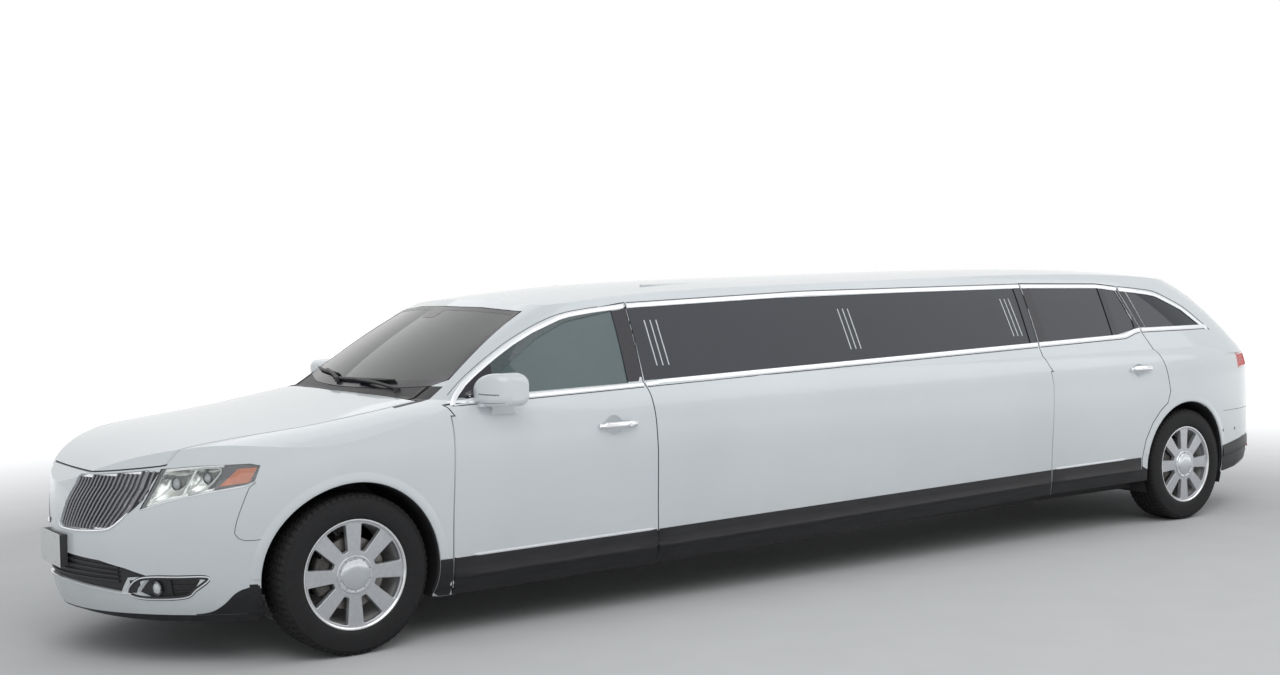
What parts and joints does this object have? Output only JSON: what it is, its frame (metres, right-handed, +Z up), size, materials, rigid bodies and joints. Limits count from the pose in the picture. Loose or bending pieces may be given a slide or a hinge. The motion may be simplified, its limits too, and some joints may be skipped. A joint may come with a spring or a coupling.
{
  "type": "stretch limousine",
  "caption": "Long white limousine on a crossover estate body, with hinged doors, bonnet and tailgate, steered front wheels and rolling wheels.",
  "frame": {"origin": "on the ground under the middle of the car's length and width", "axes": "+X to the front bumper, +Y to the car's left side, +Z up"},
  "size_m": [8.338, 2.176, 1.7001],
  "materials": {
    "paint": "gloss",
    "clear_glass": "gloss",
    "dark_glass": "gloss",
    "lamp_lens": "gloss",
    "red_lens": "gloss",
    "black_plastic": "matte",
    "chrome": "polished",
    "plate": "satin",
    "seat_leather": "satin",
    "cabinet": "gloss",
    "underbody": "matte",
    "steel": "matte",
    "tyre": "matte",
    "wheel_silver": "satin"
  },
  "bodies": {
    "body": {"bar_cabinet": "cabinet", "bulkhead": "underbody", "cowl": "black_plastic", "dashboard": "black_plastic", "engine": "steel", "exhaust": "steel", "floor": "underbody", "fog_pockets": "black_plastic", "front_bumper": "paint", "front_plate": "plate", "front_seats": "seat_leather", "front_suspension": "steel", "front_wings": "paint", "headlamps": "lamp_lens", "lower_grille": "black_plastic", "rear_bench": "seat_leather", "rear_bumper": "paint", "rear_quarters": "paint", "rear_suspension": "steel", "roof": "paint", "side_bench": "seat_leather", "side_glass": "dark_glass", "steering_wheel": "black_plastic", "stretch_panels": "paint", "tail_lamps": "red_lens", "upper_grille": "chrome", "wheel_wells": "black_plastic", "windscreen": "clear_glass"},
    "front_door_left": {"front_door_left": "paint", "front_door_glass_left": "clear_glass", "mirror_left": "paint"},
    "front_door_right": {"front_door_right": "paint", "front_door_glass_right": "clear_glass", "mirror_right": "paint"},
    "rear_door_left": {"rear_door_left": "paint", "rear_door_glass_left": "dark_glass"},
    "rear_door_right": {"rear_door_right": "paint", "rear_door_glass_right": "dark_glass"},
    "bonnet": {"bonnet": "paint"},
    "tailgate": {"tailgate": "paint", "tailgate_glass": "dark_glass", "tailgate_lamp": "red_lens"},
    "knuckle_left": {"knuckle_left": "steel"},
    "knuckle_right": {"knuckle_right": "steel"},
    "wheel_front_left": {"tyre_front_left": "tyre", "rim_front_left": "wheel_silver"},
    "wheel_front_right": {"tyre_front_right": "tyre", "rim_front_right": "wheel_silver"},
    "wheel_rear_left": {"tyre_rear_left": "tyre", "rim_rear_left": "wheel_silver"},
    "wheel_rear_right": {"tyre_rear_right": "tyre", "rim_rear_right": "wheel_silver"}
  },
  "joints": [
    {"name": "front_door_left_hinge", "type": "hinge", "parent": "body", "child": "front_door_left", "pos_m": [2.547, 0.936, 0.66], "axis": [0, 0, -1], "range_deg": [0, 65]},
    {"name": "rear_door_left_hinge", "type": "hinge", "parent": "body", "child": "rear_door_left", "pos_m": [-1.646, 0.936, 0.66], "axis": [0, 0, -1], "range_deg": [0, 65]},
    {"name": "front_door_right_hinge", "type": "hinge", "parent": "body", "child": "front_door_right", "pos_m": [2.547, -0.936, 0.66], "axis": [0, 0, 1], "range_deg": [0, 65]},
    {"name": "rear_door_right_hinge", "type": "hinge", "parent": "body", "child": "rear_door_right", "pos_m": [-1.646, -0.936, 0.66], "axis": [0, 0, 1], "range_deg": [0, 65]},
    {"name": "bonnet_hinge", "type": "hinge", "parent": "body", "child": "bonnet", "pos_m": [2.577, 0, 1.065], "axis": [0, -1, 0], "range_deg": [0, 50]},
    {"name": "tailgate_hinge", "type": "hinge", "parent": "body", "child": "tailgate", "pos_m": [-3.385, 0, 1.562], "axis": [0, 1, 0], "range_deg": [0, 80]},
    {"name": "steering_left", "type": "hinge", "parent": "body", "child": "knuckle_left", "pos_m": [3.077, 0.74, 0.3705], "axis": [0, 0, 1], "range_deg": [-35, 35]},
    {"name": "steering_right", "type": "hinge", "parent": "body", "child": "knuckle_right", "pos_m": [3.077, -0.74, 0.3705], "axis": [0, 0, 1], "range_deg": [-35, 35]},
    {"name": "wheel_front_left_spin", "type": "hinge", "parent": "knuckle_left", "child": "wheel_front_left", "pos_m": [3.077, 0.827, 0.3705], "axis": [0, 1, 0], "continuous": true},
    {"name": "wheel_rear_left_spin", "type": "hinge", "parent": "body", "child": "wheel_rear_left", "pos_m": [-2.966, 0.827, 0.3705], "axis": [0, 1, 0], "continuous": true},
    {"name": "wheel_front_right_spin", "type": "hinge", "parent": "knuckle_right", "child": "wheel_front_right", "pos_m": [3.077, -0.827, 0.3705], "axis": [0, 1, 0], "continuous": true},
    {"name": "wheel_rear_right_spin", "type": "hinge", "parent": "body", "child": "wheel_rear_right", "pos_m": [-2.966, -0.827, 0.3705], "axis": [0, 1, 0], "continuous": true}
  ],
  "couplings": [
    {"joint": "steering_right", "follows": "steering_left", "ratio": 1}
  ]
}
